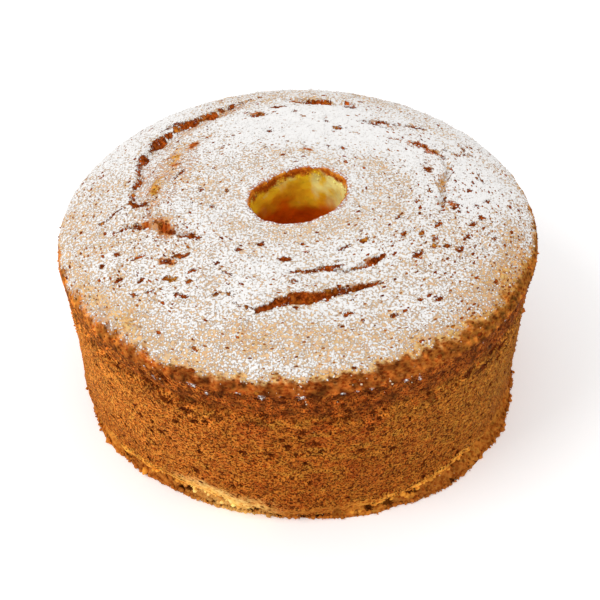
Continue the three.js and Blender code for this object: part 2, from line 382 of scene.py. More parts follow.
# Dark marks on the crown: x, y, half length, half width and the direction of the length in degrees
# from +X. Without a direction the mark lies along the ring.
CRACK_MARKS = [
    (-44, 77, 5, 1.5), (-53, 70, 5, 1.9), (-63, 66, 6, 0.9), (-68, 53, 4.5, 2.2), (-74, 38, 3.5, 2.5),
    (-75, 19, 5, 0.8), (-74, 0, 4.6, 2, -35), (-78, -19, 3, 1, 20), (-50, -26, 3.4, 1.5, 15),
    (-46, -28, 3.6, 1.3, -10), (-89, -12, 1.8, 1, 0), (-84, -7, 4.2, 0.6, 55), (-70, -39, 3.2, 1, 25),
    (-58, -43, 4.6, 1.1, -25), (-52, -40, 4.6, 1.1, 10), (-80, -35, 1.8, 1.2, -15), (-87, -41, 1.5, 1, 5),
    (-78, -51, 1.5, 1.2, -5), (-68, -53, 1.6, 1.1, 35), (-71, -61, 2, 0.9, -35), (-64, -60, 1.6, 0.9, 10),
    (-57, -53, 1.9, 1, -15), (-54, -54, 1.4, 1, -15), (-46, -50, 1.5, 1.1, 0), (-47, -56, 1.3, 0.9, 65),
    (-35, -64, 1.7, 0.8, 15), (-43, -92, 2, 0.9, -15), (-20, 72, 4.5, 1.4), (-11, 80, 3.5, 1.3),
    (8, 88, 12, 1.2), (26, 81, 3, 0.9), (14, 65, 2, 1.1), (20, 60, 3, 1.1), (39, 62, 6, 0.6),
    (22, 41, 2.3, 1.2), (14, 42, 1.2, 1.1), (-14, 55, 2.2, 0.8), (-2, 75, 1.3, 0.9), (61, 8, 1.5, 1.3),
    (72, -3, 1.4, 1.1), (82, 0, 1.5, 1.1), (88, 5, 1.5, 1), (83, -9, 1.7, 1.3), (79, -14, 1.5, 1.2),
    (76, -23, 2.2, 1.2), (72, -32, 2.3, 1.3), (63, -17, 1.4, 1.1), (61, -27, 1.6, 1), (60, -32, 2, 1.3),
    (66, -31, 1.7, 1.3), (55, -24, 2.2, 1.2), (47, -26, 1.9, 1.4), (52, -39, 3.2, 1.4),
    (45, -14, 1.5, 0.9), (89, -21, 1.4, 0.9), (80, 12, 1.3, 0.9), (86, 23, 3.6, 0.7), (80, 48, 2.6, 1),
    (14, -48, 6, 1.2), (5, -51, 3, 0.9), (34, -43, 4.5, 1.3), (29, -31, 2.5, 1.5), (-6, -44, 2.8, 1.5),
    (-17, -34, 1.8, 1.2), (1, -34, 2.1, 0.8), (-26, -38, 1.9, 1.1, 5), (-36, -46, 2, 0.9, 15),
    (-2, -52, 2.5, 1.1), (-2, -57, 1.9, 1), (-32, -52, 3.8, 0.8, -30), (-23, -72, 5.5, 0.7),
    (20, -36, 3.2, 0.6), (-29, -64, 1.9, 1.1), (-50, -64, 3.6, 1.4, -15), (21, -75, 2.2, 1.1),
    (41, -74, 2.2, 1), (52, -65, 1.7, 0.9), (60, -64, 1.9, 1), (-33, 5, 1.5, 1),
    (-63, -17, 2.4, 1.2, -45), (-58, -23, 3, 1.2, -10), (-66, 2, 1.6, 0.5), (-68, -6, 5, 0.5),
    (-72, -17, 2.2, 0.8, -20), (-51, -19, 1.6, 0.7, 10), (-55, -20, 1.8, 0.5, -30), (-45, 7, 2.2, 0.9),
    (-39, -6, 1.6, 0.6), (-55, 21, 1.8, 0.8), (-57, 18, 1.8, 0.6), (71, 44, 2.4, 0.6, -40),
    (75, 42, 2.2, 0.5, -25), (79, 42, 2.8, 0.5, 30), (83, 43, 2.1, 0.4, -20), (62, 25, 2.6, 1.2, -35),
    (57, 47, 3, 0.7, -20), (65, 42, 3.4, 0.8, -25), (69, 39, 2.4, 0.5, -60),
]
MARK_DEPTH = 0.9

# Patches of skin in the same way, by colour, after the share of sugar that is missing there.
SKIN_PATCHES = {
    "skin": (0.1, [
        (-62, 18, 40, 11), (-70, -4, 20, 6), (-62, -20, 16, 8), (-52, 30, 10, 5), (62, 30, 26, 7),
    ]),
    "golden_skin": (0.42, [
        (-44, -29, 2.6, 1.5, -10), (-59, 33, 6, 3), (70, 35, 5.5, 3.4, -70), (72, 28, 5, 3, -80),
        (65, 13, 5.5, 3.8, -60), (66, -3, 5.5, 3, -70), (-66, 12, 9, 3), (-45, -27, 4, 2.4),
        (-46, 15, 4, 2),
    ]),
    "rust": (0.66, [
        (-60, -21, 8, 4, -60), (-51, -26, 4, 2, 15), (-74, 0, 5.4, 2.8, -35), (-58, -43, 6, 2.6, -20),
        (-52, -40, 5, 1.8, 10), (-70, -18, 5, 2.4, 10), (-50, 45, 4, 2.4), (-58, 27, 4, 2.4),
        (-43, 52, 2.4, 1.4), (-21, 74, 4.5, 1.4), (2, 86, 9, 1.4), (42, 79, 4, 0.9), (59, 64, 4.5, 0.9),
        (29, 54, 2.4, 1), (45, 61, 3.4, 1.2), (4, 38, 4, 1.2), (47, 50, 5, 1, -15), (57, 47, 7, 2.8, -20),
        (64, 42, 6, 3.2, -40), (62, 25, 3.4, 2, -35), (72, 8, 5, 3, -40), (71, 0, 4, 2, -70),
        (80, 42, 8, 1.4, 10), (31, -46, 3.5, 1.1),
    ]),
}

# Where there is more or less sugar: x, y, half length round the ring, half width across it, and the
# share of the crust that it covers more.
SUGAR_PATCHES = [
    (4, -26, 32, 12, -0.16), (-28, -20, 16, 8, -0.1), (44, 8, 26, 20, -0.14), (34, 26, 14, 8, -0.1),
    (-66, 10, 26, 8, -0.2), (-61, -19, 14, 8, -0.26), (-52, 44, 18, 8, -0.14), (-36, 79, 15, 7, -0.2),
    (-52, 66, 14, 6, -0.2), (8, 88, 20, 7, -0.3), (-21, 73, 8, 4, -0.3), (-80, -54, 56, 22, -0.12),
    (-95, -5, 34, 16, -0.1), (-86, -64, 60, 9, -0.16), (-52, -92, 44, 12, -0.16),
    (78, -62, 46, 16, -0.24), (0, -90, 70, 16, -0.2), (96, -28, 40, 10, -0.22), (68, 20, 30, 7, -0.2),
    (42, 64, 24, 6, -0.2), (-5, 38, 24, 8, -0.12), (25, 62, 60, 36, 0.32), (-20, 58, 50, 30, 0.24),
    (72, 20, 44, 32, 0.3), (-82, 62, 60, 24, 0.2), (10, -52, 50, 12, 0.08), (95, 60, 50, 20, 0.2),
]


def at_share(share, values):
    """A value at a share of the way through evenly spaced ones."""
    return np.interp(share, np.linspace(0, 1, len(values)), values)


def crack_fields(radius, angle, points):
    """How many millimetres inside a crack's dark part each place on the crown is (negative outside),
    the groove's depth there, and for each skin how much of it shows."""
    wander = 1.1 * clouds(points, 8, 70) + 0.5 * clouds(points, 2.4, 71)
    ragged = 0.9 * clouds(points, 1.9, 72)
    gaps = ramp(-0.15, 0.45, clouds(points, 5, 73))
    darkest = np.full(len(radius), -9.0)
    groove = np.zeros(len(radius))
    skins = {name: np.zeros(len(radius)) for name in SKIN_PATCHES}
    for start, end, radii, widths, slope, depth, dark, broken, skin in CRACKS:
        along = apart(angle, (start + end) / 2) / (end - start) + 0.5
        middle = at_share(along, radii)
        lean = (at_share(along + 0.01, radii) - middle) / (0.01 * (end - start) * DEGREE * middle)
        inward = (middle - radius) / np.hypot(1, lean) + wander
        opening = np.sqrt(np.clip(np.sin(np.pi * np.clip(along, 0, 1)), 0, 1))
        half = at_share(along, widths) / 2
        beyond_end = np.maximum(-along, along - 1) * (end - start) * DEGREE * middle
        inside = np.minimum(np.minimum(half + inward, half - inward / slope), -beyond_end)
        share = ramp(0, 1, inside / (half * (1 - CRACK_FLOOR_SHARE)))
        groove = np.maximum(groove, depth * opening * share)
        dark_part = np.minimum(half + inward, dark * half - inward) + ragged
        dark_part = np.minimum(dark_part - broken * half * gaps, -beyond_end)
        darkest = np.maximum(darkest, dark_part)
        skins[skin] = np.maximum(skins[skin], ramp(-0.4, 0.8, inside + ragged))
    return darkest, groove, skins


def inside_patch(points, at_x, at_y, half_length, half_width, direction=None):
    """How far inside a patch each place is: 1 at its middle, 0 at its edge and negative outside. The
    patch follows the ring, or is straight if it has a direction."""
    x, y = points[:, 0], points[:, 1]
    if direction is not None:
        ahead = np.array([math.cos(direction * DEGREE), math.sin(direction * DEGREE)])
        along = (x - at_x) * ahead[0] + (y - at_y) * ahead[1]
        aside = (x - at_x) * ahead[1] - (y - at_y) * ahead[0]
        return 1 - np.hypot(along / half_length, aside / half_width)
    at_radius = math.hypot(at_x, at_y)
    turn = apart(np.arctan2(y, x), math.atan2(at_y, at_x) / DEGREE)
    across = (np.hypot(x, y) - at_radius) / half_width
    return 1 - np.hypot(turn * DEGREE * at_radius / half_length, across)


# ---- Colours, as seen on screen

COLOURS = {
    "under_sugar": (218, 172, 114),
    "under_sugar_outer": (214, 162, 92),
    "skin": (202, 140, 84),
    "golden_skin": (196, 134, 46),
    "rust": (168, 76, 20),
    "crack": (120, 50, 10),
    # Near-black brown inside the wall's pits and the crust's pores: painted shade in these hollows.
    "pit": (88, 34, 4),
    "small_pit": (160, 92, 40),
    "shoulder": (144, 72, 21),
    "wall_top": (146, 70, 18),
    "wall": (180, 96, 26),
    "wall_red": (166, 77, 21),
    "wall_olive": (177, 110, 33),
    # Lighter orange for the left side of the wall and shoulder: painted light, as the light falls from
    # the left.
    "wall_painted_light": (222, 132, 46),
    "wall_foot": (172, 90, 24),
    "torn_pale": (255, 216, 124),
    "torn_gold": (240, 160, 56),
    "torn_plain": (172, 96, 30),
    "torn_foot": (176, 102, 34),
    # Dark brown for the torn base's cavities and the line under the torn lip: painted shade.
    "cavity_shade": (96, 48, 10),
    "hole": (255, 212, 44),
    # Pale yellow for random pale patches of the hole's crumb, and for painted light on the inner wall
    # that faces the light.
    "hole_pale_and_painted_light": (255, 246, 156),
    "hole_orange": (250, 156, 20),
    # Dark orange deep in the hole and on its inner wall turned away from the light: painted shade.
    "hole_deep_shade": (212, 94, 2),
    "hole_rim": (176, 84, 14),
    "hole_rim_light": (240, 158, 50),
    "base": (176, 112, 44),
    "sugar": (240, 238, 236),
    "fallen_sugar": (226, 198, 168),
}


def light(name):
    value = np.array(COLOURS[name]) / 255
    return np.where(value > 0.04045, ((value + 0.055) / 1.055) ** 2.4, value / 12.92)


def layered(colours, *layers):
    """The colours with named ones over them in turn, each with its share at every point."""
    for name, share in layers:
        share = np.clip(share, 0, 1)[:, None]
        colours = colours * (1 - share) + light(name) * share
    return colours


def plain(name, count):
    return np.repeat(light(name)[None], count, axis=0)


# ---- The cake's surface


class Surface:
    """The fine mesh, with what the looks need to know about each point."""

    def __init__(self):
        plan = planned_rows()
        rows = [function(share, spread_angles(count)) for function, share, count, _ in plan]
        counts = [count for _, _, count, _ in plan]
        firsts = np.concatenate([[0], np.cumsum(counts)])[:-1].tolist()
        self.points = np.concatenate(rows)
        self.region = np.repeat([region for *_, region in plan], counts)
        self.faces = []
        for j in range(len(plan)):
            k = (j + 1) % len(plan)
            self.faces += ring_faces(firsts[j], counts[j], firsts[k], counts[k])
        section = [(math.hypot(row[0, 0], row[0, 1]), row[0, 2]) for row in rows]
        steps = [math.dist(a, b) for a, b in zip(section, section[1:])]
        self.along_section = np.repeat(np.concatenate([[0], np.cumsum(steps)]), counts)
        self.measure_normals()
        self.radius = np.hypot(self.points[:, 0], self.points[:, 1])
        self.angle = np.arctan2(self.points[:, 1], self.points[:, 0])
        self.height = self.points[:, 2].copy()

    def measure_normals(self):
        """Each point's outward direction and share of the area."""
        total = np.zeros_like(self.points)
        for sides in (3, 4):
            listed = np.array([face for face in self.faces if len(face) == sides])
            corners = self.points[listed]
            across = np.cross(corners[:, 2] - corners[:, 0], corners[:, -1] - corners[:, 1])
            for k in range(sides):
                np.add.at(total, listed[:, k], across / sides)
        self.area = np.linalg.norm(total, axis=1)
        self.normals = total / self.area[:, None]


SUGAR_COVER = 0.62
# How high over the widest ring the sugar starts, every 30 degrees from +X.
SUGAR_EDGE = [3, 1.4, 1, 1, 1, 1, 1, 3, 4, 5.4, 6.6, 5.2]
SUGAR_EDGE_SOFTNESS = 2.6


def sugar_start(points, angle):
    ragged = 1.8 * clouds(points, 5, 31) + 0.8 * noise(points, 1.8, 34)
    return around_ring(SUGAR_EDGE, angle) + ragged


def sugar_cover(points, above_edge):
    """Share of the crust that sugar covers on the crown."""
    flat = points * [1, 1, 0]
    cover = SUGAR_COVER + 0.12 * clouds(flat, 18, 32) + 0.12 * clouds(flat, 5, 33)
    for *patch, more in SUGAR_PATCHES:
        cover += more * ramp(0, 0.8, inside_patch(points, *patch))
    return cover * ramp(-SUGAR_EDGE_SOFTNESS / 2, SUGAR_EDGE_SOFTNESS, above_edge)


def crown_relief(points):
    return 0.34 * clouds(points, 6, 43) + 0.28 * clouds(points, 2.6, 44)


def rim_relief(points):
    return 0.6 * clouds(points, 5, 62) + 0.4 * clouds(points, 2, 63)


def well_browned(colour, points):
    """The colour with the lighter grains and dark gaps of the well browned crust."""
    grains = clouds(points, 2.5, 79)
    return np.clip(colour * (1 + 1.25 * np.clip(grains, -0.6, 0.9))[:, None], 0, 1)


def dress_crown(cake, on):
    """Cracks, marks and unevenness of the crown, its colours and its sugar."""
    points, radius, angle = cake.points[on], cake.radius[on], cake.angle[on]
    rough = points + 1.1 * noise(points, 2.2, 42)[:, None] + 0.6 * noise(points, 1.1, 47)[:, None]
    inside, groove, skins = crack_fields(radius, angle, points)
    hollow = np.zeros(len(points))
    for mark in CRACK_MARKS:
        depth_in = inside_patch(rough, *mark) * min(mark[2:4])
        inside = np.maximum(inside, depth_in)
        hollow = np.maximum(hollow, MARK_DEPTH * np.clip(depth_in, 0, 2))
    from_rim = cake.along_section[on] - cake.along_section[on].min()
    uneven = mix(rim_relief(points), crown_relief(points), ramp(0, 9, from_rim))
    up = crown_height(radius, angle) - WIDEST_HEIGHT
    above_edge = up - sugar_start(points, angle)
    slow = stretch(angle, -142, 42)
    browned = 1 - ramp(-0.8, mix(0.4, 4, slow), above_edge)
    uneven += 0.5 * browned * clouds(points, 2.6, 83) * ramp(0, 2, up)

    colour = layered(
        plain("under_sugar", len(points)),
        ("under_sugar_outer", ramp(26, 80, radius + 9 * clouds(points, 15, 49))),
        ("shoulder", browned),
        ("wall_olive", 0.5 * browned * stretch(angle, -20, 60)),
        # The browned shoulder is painted lighter on the left side: painted light.
        ("wall_painted_light", 0.45 * browned * stretch(angle, -160, 50)),
    )
    colour = mix(colour, well_browned(colour, points), browned[:, None])
    near_edge = stretch(angle, -28, 52) * (1 - ramp(0, 7, above_edge))
    colour = layered(colour, ("wall_olive", 0.6 * near_edge * (1 - browned)))
    cover = sugar_cover(points, above_edge)
    streaks = ramp(-0.6, 0.3, clouds(points, 4, 50))
    for name, (less_sugar, patches) in SKIN_PATCHES.items():
        share = skins[name]
        for patch in patches:
            share = np.maximum(share, ramp(0, 0.4, inside_patch(rough, *patch)))
        patchy = share * streaks
        colour = layered(colour, (name, patchy))
        cover = cover - less_sugar * patchy
    crowded = np.maximum(stretch(angle, -12, 62), 0.5 * stretch(angle, 195, 75))
    crowded = 0.36 + 0.5 * crowded * ramp(38, 60, radius)
    fewer = 1 - 0.5 * stretch(angle, -118, 36) * ramp(60, 80, radius)
    return {
        "relief": uneven - hollow - groove * (1 + 0.25 * noise(points, 6, 48)),
        "crust": colour,
        "mark": layered(
            plain("crack", len(points)),
            ("rust", ramp(-0.3, 0.9, clouds(points, 3, 45))),
            ("golden_skin", 0.5 * ramp(0.2, 0.7, clouds(points, 6, 46))),
        ),
        "inside": inside,
        "sugar": np.clip(cover, 0, 1),
        "fallen": 0.04 + 0.3 * clouds(points, 3, 69),
        "pits": crowded * fewer * ramp(2, 8, from_rim) + 0.3 * browned,
        "pores": mix(1, 0.45, ramp(0.1, 0.5, cover)),
    }


# Broken pits along the pan line, below it and at the base: angle, height, half length and height.
# Their insides are painted dark, as shade in the hollows.
WALL_MARKS = [
    (-145, 70, 1.6, 0.8), (-135, 72, 2, 1), (-126.5, 72, 2.4, 0.9), (-121, 69, 3.4, 1.2),
    (-116, 68, 5, 0.8), (-114, 62, 3, 0.9), (-108, 67, 5, 0.8), (-89.4, 62.7, 1.6, 1.6),
    (-98, 72, 2.5, 1), (-93, 75, 2, 1), (-83, 74, 2.5, 0.9), (-75, 70, 2.5, 0.6), (-60, 67, 3, 0.6),
    (-47, 70, 3.5, 0.9), (-41, 66, 5, 0.9), (-38, 71, 4.5, 1.4), (-34, 68, 5, 1.1), (-28, 72, 4, 0.9),
    (-103, 47, 2, 1.1), (-70, 55, 2, 0.7), (-55, 50, 2.4, 0.6), (-126, 6, 3, 1.4), (-121, 4.5, 5, 2.2),
    (-112, 2.5, 3, 1), (-107, 2, 4, 1.4), (-101, 1.6, 4, 1.3), (-96, 1.4, 4, 1.3), (-90, 1.2, 4, 1.1),
    (-85, 1, 3, 1), (-72, 3, 3, 1.8), (-67, 2.4, 3, 1.5), (-141, 3, 3, 1), (-134, 2, 2, 1),
]
# Sugar that fell on the wall's top: angle, height and half width.
FALLEN_SUGAR = [
    (-98, 86.5, 2.6), (-94, 88, 1.8), (-89.6, 87, 2.6), (-87.7, 89, 2.4), (-80.5, 87, 1.6),
    (-78.2, 88.5, 2.8), (-70, 88, 1.8), (-66.4, 86.5, 2), (-124.7, 88, 1.8), (-122.8, 82, 1.2),
    (-112.7, 86, 1.8), (-110, 83.5, 1.8), (-114, 88.5, 2), (-103, 87.5, 1.8), (-83.4, 88.5, 1.6),
    (-74.3, 87.5, 1.6), (-62.8, 84.5, 1.4), (-53.3, 88.5, 1.8), (-36, 87.5, 1.6), (-44.5, 86, 1.6),
]
FALLEN_COVER = 0.62

WALL_PIT_CELLS = 150
WALL_PIT_SHARE = 0.3
WALL_PIT_SIZES = (0.3, 1.1)
WALL_PIT_LENGTHS = (1.1, 2.4)
WALL_PIT_DEPTH = 1.2
WALL_PIT_SEED = 52


def wall_pits(angle, height):
    """How deep inside a small pit each place on the wall is: 1 at its middle and 0 at its edge. A
    share of the wall's square cells has one."""
    cell = FULL_TURN * WIDEST_RADIUS / WALL_PIT_CELLS
    place = np.stack([np.mod(angle, FULL_TURN) * WIDEST_RADIUS, height], axis=1) / cell
    home = np.floor(place).astype(np.int64)
    deepest = np.zeros(len(angle))
    for step in np.ndindex(3, 3):
        near = home + step - 1
        column, row = near[:, 0] % WALL_PIT_CELLS, near[:, 1]
        there, right, up, size, longer = (
            lattice(column, row, np.int64(k), WALL_PIT_SEED) for k in range(5)
        )
        along, across = ((near + np.stack([right, up], axis=1) - place) * cell).T
        short = mix(*WALL_PIT_SIZES, size**2)
        far = np.hypot(along / (short * mix(*WALL_PIT_LENGTHS, longer)), across / short)
        deepest = np.maximum(deepest, np.where(there < WALL_PIT_SHARE, 1 - far, 0))
    return deepest


def fallen_sugar(points, angle, height):
    """Cover of the small patches of sugar below the crown's border."""
    rough = noise(points, 2.2, 74)
    cover = np.zeros(len(points))
    for at, up, half_width in FALLEN_SUGAR:
        along = apart(angle, at) * DEGREE * WIDEST_RADIUS
        inside = 1 - np.hypot(along, height - up) / half_width + 0.5 * rough
        cover = np.maximum(cover, FALLEN_COVER * ramp(0, 0.7, inside))
    return cover


def dress_wall(cake, on):
    """Crumb, pits, the pan line and the torn base of the wall, and its colours, with painted light on the
    left side, and painted shade in the pits, in the torn base's cavities and as a shadow line under the
    torn lip.
    """
    points, angle, height = cake.points[on], cake.angle[on], cake.height[on]
    flattened = points * [0.6, 0.6, 1.4]
    flatter = points * [1, 1, 1.6]
    lip = torn_base(angle)[0]
    below_lip = lip + LIP_ROUND - height + 2 * clouds(points, 4, 51)
    torn = ramp(-0.8, 0.8, below_lip)

    sized = wall_pits(angle, height)
    line = np.exp(-pan_line_place(height, angle) ** 2)
    broken = ramp(-0.1, 0.5, clouds(flattened, 9, 53) + 0.4 * np.cos(3 * angle))
    line_pits = line * broken * ramp(-0.15, 0.5, clouds(flattened, 3, 54))
    rough = 0.9 * noise(points, 2.4, 77)
    marked = np.full(len(points), -3.0)
    for at, up, half_length, half_height in WALL_MARKS:
        along = apart(angle, at) * DEGREE * WIDEST_RADIUS + rough
        far = np.hypot(along / half_length, (height - up + 0.6 * rough) / half_height)
        marked = np.maximum(marked, (1 - far) * half_height)
    cavities = clouds(flatter, 4.2, 59) * torn * ramp(1.2, 3.5, below_lip)
    hollow = WALL_PIT_DEPTH * ramp(0, 0.7, sized) * (1 - torn)
    hollow += 1.6 * line_pits + 1.3 * np.clip(marked, 0, 1)
    uneven = 0.32 * clouds(flattened, 3.4, 55) + 0.22 * clouds(points, 1.7, 56)
    uneven += 0.25 * clouds(flattened, 2.6, 79) * ramp(58, 74, height)
    uneven = mix(uneven, crown_relief(points), ramp(82, 87, height))
    crumb = 1.1 * clouds(points, 5, 57, 2) + 0.4 * clouds(points, 1.8, 58)
    deep = 2.2 * ramp(0.12, 0.5, cavities)

    top = ramp(64, 80, height + 4 * clouds(points, 9, 60))
    colour = layered(
        plain("wall", len(points)),
        ("wall_red", ramp(-0.2, 0.5, clouds(points, 8, 66))),
        ("wall_olive", 0.8 * stretch(angle, -25, 70)),
        ("wall_olive", ramp(0, 0.8, clouds(flattened, 5, 67))),
        # The left side of the wall is painted lighter: painted light from the left.
        ("wall_painted_light", stretch(angle, -163, 84)),
        ("wall_foot", 0.6 * (1 - ramp(8, 40, height))),
        # The dark top band is weaker on the left side: painted light there too.
        ("wall_top", top * mix(0.9, 0.5, stretch(angle, -163, 70))),
    )
    colour = mix(colour, well_browned(colour, points), ramp(54, 76, height)[:, None])
    pale = stretch(angle, -109, 18)
    above = 1 - ramp(2, 9, height - lip + 3 * clouds(points, 5, 61))
    seen = np.maximum(1.5 * stretch(angle, -124, 36), 1.5 * stretch(angle, -55, 28))
    seen = np.clip(np.maximum(seen, 0.6 * stretch(angle, 110, 120)), 0.15, 1)
    near_lip = ramp(-3.5, -0.5, below_lip) * (1 - torn)
    mottled = 0.6 * clouds(flatter, 3.2, 68)
    foot = ramp(2, 5.5, below_lip + 4 * mottled) * mix(1, 0.55, pale)
    colour = layered(
        colour,
        ("torn_pale", 0.8 * pale * above),
        ("torn_gold", 0.7 * near_lip * seen),
        ("torn_plain", torn * (1 - seen)),
        ("torn_gold", torn * seen),
        ("torn_pale", torn * pale * ramp(-0.5, 0.1, mottled)),
        ("torn_foot", torn * seen * foot),
    )

    pit_inside = mix((sized - 0.12) * 1.5, -1, np.maximum(torn, pale * above))
    line_inside = np.maximum((line_pits - 0.5) * 3, 1.2 * marked)
    # A painted shadow line under the torn lip on the right front. It and the deeper cavities of the torn
    # crumb are painted dark brown as shade.
    shadow = np.exp(-((below_lip - 3) / 1.2) ** 2) * ramp(-0.5, 0.2, clouds(points, 6, 82))
    shadow *= stretch(angle, -54, 26)
    in_cavity_shade = np.where(torn * seen > 0.6, np.maximum((cavities - 0.4) * 6, 2.6 * shadow - 1), -3)
    return {
        "relief": (mix(uneven, crumb, torn) - deep) * ramp(0, 1.5, height) - hollow,
        "level": torn,
        "crust": colour,
        # The wall's marks are painted shade: near-black in the pits, dark brown in the torn base.
        "mark": layered(plain("pit", len(points)), ("cavity_shade", torn)),
        "inside": np.maximum(np.maximum(pit_inside, line_inside), in_cavity_shade),
        "sugar": fallen_sugar(points, angle, height),
        "pores": mix(1, 0.85, torn) - 0.4 * pale * np.maximum(torn, 1.4 * above),
        "pits": mix(0.16, 0.5, ramp(60, 76, height)) * (1 - torn),
    }


def dress_hole(cake, on):
    """Soft crumb in the hole, with the crown's crust as a thin dark line at its rim, painted light on the
    inner wall that faces the light, and painted shade deep down and on the wall turned away from it.
    """
    points, angle, height = cake.points[on], cake.angle[on], cake.height[on]
    below_rim = height.max() - height
    lumpy = 0.6 * clouds(points, 6, 75) * ramp(1, 8, below_rim)
    mottled = clouds(points, 4, 64)
    # Random pale patches, and painted light on the inner wall round 30 degrees, which faces the light;
    # paler towards the rim.
    pale = 1.1 * mottled + 1.3 * stretch(angle, 30, 66) - 0.02 * below_rim
    # Painted shade: darker further below the rim and on the inner wall round 130 degrees, turned away
    # from the light, with random spread.
    deep = below_rim + 9 * clouds(points, 7, 76) + 8 * stretch(angle, 130, 70)
    ragged = 4.4 * clouds(points, 3, 65) - 1.6 * stretch(angle, 150, 80)
    crust = 1 - ramp(2.6, 5.6, below_rim + ragged)
    dusted = cake.normals[on][:, 2] + 0.5 * clouds(points, 2.4, 80)
    return {
        "relief": (rim_relief(points) + lumpy) * ramp(0, 2, height),
        "crust": layered(
            plain("hole", len(points)),
            ("hole_orange", ramp(0, 0.6, -mottled - 0.3)),
            # Paler where lit: partly random patches, partly painted light.
            ("hole_pale_and_painted_light", ramp(0.1, 0.8, pale)),
            # Darker deep down and on the shaded side: painted shade.
            ("hole_deep_shade", ramp(13, 30, deep)),
            ("hole_rim", crust),
            ("hole_rim_light", 0.8 * ramp(0, 0.5, clouds(points, 2.2, 78)) * crust),
        ),
        "sugar": 0.55 * ramp(0.3, 0.9, dusted),
        "pores": 0.08,
    }


GRAIN_STRETCH = 1.4


def dressed_cake():
    """The fine surface with its relief, and its material's fields."""
    cake = Surface()
    count = len(cake.points)
    fields = {name: np.zeros(count) for name in ("relief", "level", "sugar", "fallen", "pits")}
    fields["inside"] = np.full(count, -3.0)
    fields["pores"] = np.ones(count)
    fields["crust"] = plain("base", count)
    fields["mark"] = plain("crack", count)
    for dress, region in ((dress_crown, CROWN), (dress_wall, WALL), (dress_hole, HOLE)):
        on = cake.region == region
        for name, values in dress(cake, on).items():
            fields[name][on] = values
    fields["inside"] = np.clip(fields["inside"], -3, 3)
    outward = cake.points * [1, 1, 0]
    outward /= np.linalg.norm(outward, axis=1)[:, None]
    towards = mix(cake.normals, outward, fields.pop("level")[:, None])
    cake.points = cake.points + towards * fields.pop("relief")[:, None]
    cake.points[:, 2] = np.maximum(cake.points[:, 2], 0)
    cake.measure_normals()
    stretched = [GRAIN_STRETCH, GRAIN_STRETCH, 1]
    along = cake.along_section[:, None]
    fields["grain"] = np.concatenate([cake.points[:, :2], along], axis=1) / stretched
    return cake, fields


# ---- Making objects


def put(name, data):
    made = bpy.data.objects.new(name, data)
    bpy.context.scene.collection.objects.link(made)
    return made


def make_mesh(name, points, faces, fields, material):
    """A smooth mesh from points in millimetres, with fields as attributes."""
    mesh = bpy.data.meshes.new(name)
    mesh.from_pydata((points * MM).tolist(), [], faces)
    mesh.shade_smooth()
    for field, values in fields.items():
        kind, key = ("FLOAT_VECTOR", "vector") if values.ndim == 2 else ("FLOAT", "value")
        made = mesh.attributes.new(field, kind, "POINT")
        made.data.foreach_set(key, values.astype(np.float32).ravel())
    mesh.materials.append(material)
    return put(name, mesh)


# A lump has the twelve corners and twenty faces of a regular solid, made uneven.
GOLDEN = (1 + math.sqrt(5)) / 2
SIGNED = [(a, b) for a in (-1, 1) for b in (-GOLDEN, GOLDEN)]
LUMP_POINTS = np.array(
    [(0, a, b) for a, b in SIGNED] + [(a, b, 0) for a, b in SIGNED] + [(b, 0, a) for a, b in SIGNED]
) / math.hypot(1, GOLDEN)
LUMP_SINK = 0.3
CORNER_UNEVENNESS = (0.65, 1.25)
AXIS_UNEVENNESS = (0.7, 1.3)


def lump_faces():
    """The faces of the lump's shape: each three points that are one edge apart."""
    edge = min(math.dist(LUMP_POINTS[0], p) for p in LUMP_POINTS[1:]) + 0.01
    faces = []
    for i, j, k in combinations(range(len(LUMP_POINTS)), 3):
        a, b, c = LUMP_POINTS[[i, j, k]]
        if max(math.dist(a, b), math.dist(b, c), math.dist(a, c)) < edge:
            outward = np.dot(np.cross(b - a, c - a), a) > 0
            faces.append((i, j, k) if outward else (i, k, j))
    return np.array(faces)


def lumps(name, places, sizes, colours, material):
    """One mesh of uneven lumps."""
    count, corners = len(places), len(LUMP_POINTS)
    turn = random.normal(size=(count, 4))
    turn /= np.linalg.norm(turn, axis=1)[:, None]
    shape = LUMP_POINTS[None] * random.uniform(*CORNER_UNEVENNESS, size=(count, corners, 1))
    shape = shape * random.uniform(*AXIS_UNEVENNESS, size=(count, 1, 3)) * sizes[:, None, None]
    axis = turn[:, None, 1:]
    aside = 2 * np.cross(axis, shape)
    points = shape + turn[:, None, :1] * aside + np.cross(axis, aside) + places[:, None, :]
    points[..., 2] = np.maximum(points[..., 2], 0)
    faces = lump_faces()[None] + corners * np.arange(count)[:, None, None]
    fields = {"crust": np.repeat(colours, corners, axis=0)}
    return make_mesh(name, points.reshape(-1, 3), faces.reshape(-1, 3).tolist(), fields, material)


# ---- Materials


class Number:
    """A number inside a material, with plain arithmetic on it."""

    def __init__(self, tree, socket):
        self.tree = tree
        self.socket = socket

    def __add__(self, other):
        return self.tree.math("ADD", self, other)

    def __mul__(self, other):
        return self.tree.math("MULTIPLY", self, other)

    def __sub__(self, other):
        return self.tree.math("SUBTRACT", self, other)

    def __rsub__(self, other):
        return self.tree.math("SUBTRACT", other, self)


